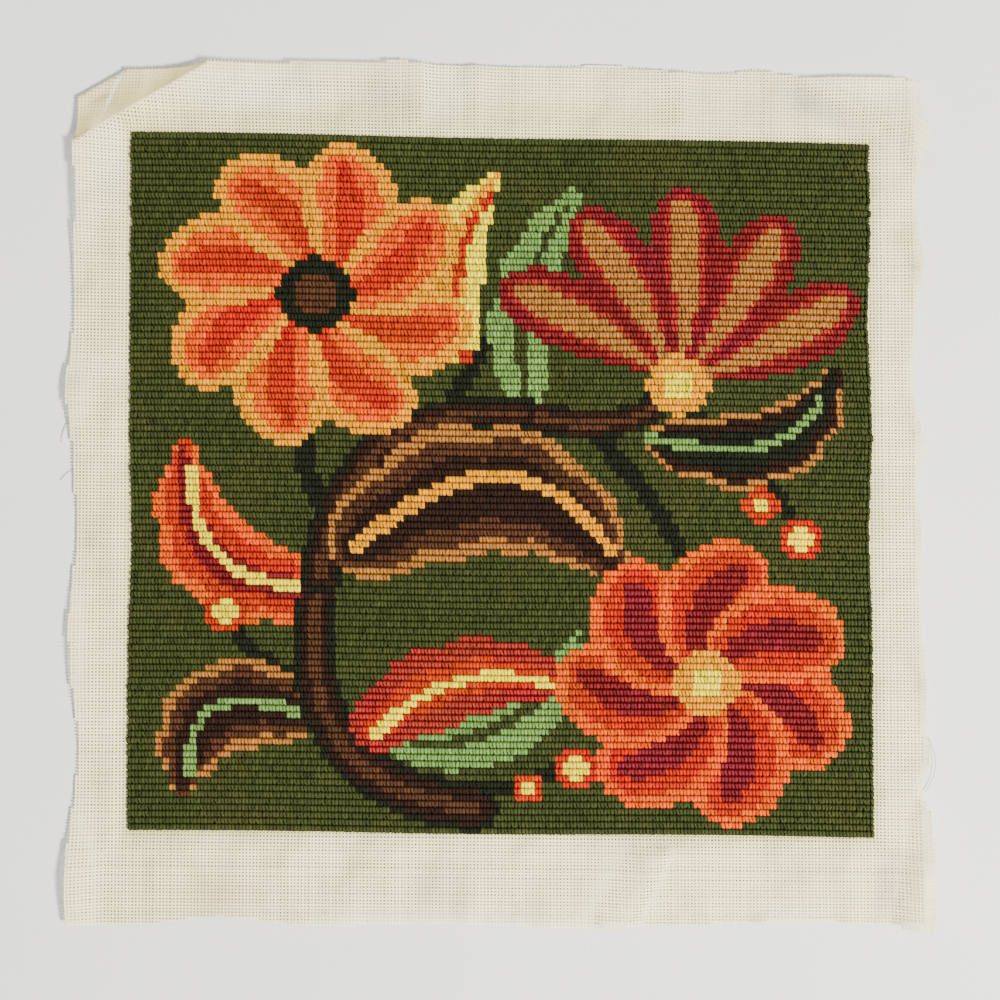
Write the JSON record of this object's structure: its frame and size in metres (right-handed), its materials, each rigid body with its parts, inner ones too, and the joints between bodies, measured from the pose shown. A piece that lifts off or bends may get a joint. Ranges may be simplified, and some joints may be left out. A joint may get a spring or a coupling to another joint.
{
  "type": "needlepoint canvas panel",
  "caption": "Square needlepoint panel: ribbed wool needlework in upright stitches on a larger cotton canvas with bare, rippled raw-edged margins, lying flat.",
  "frame": {"origin": "middle of the sheet's outline, on the surface that the panel lies on", "axes": "+X to the right along the rows of stitches, +Y towards the panel's upper edge, +Z out of its worked face"},
  "size_m": [0.459, 0.4578, 0.0096],
  "materials": {
    "canvas": "sized single-thread cotton canvas, open even weave, cream, matt",
    "needlework": "worked tapestry wool in upright stitches, matt with a soft fuzz"
  },
  "bodies": {
    "root": {"canvas": "canvas", "needlework": "needlework"}
  },
  "joints": []
}
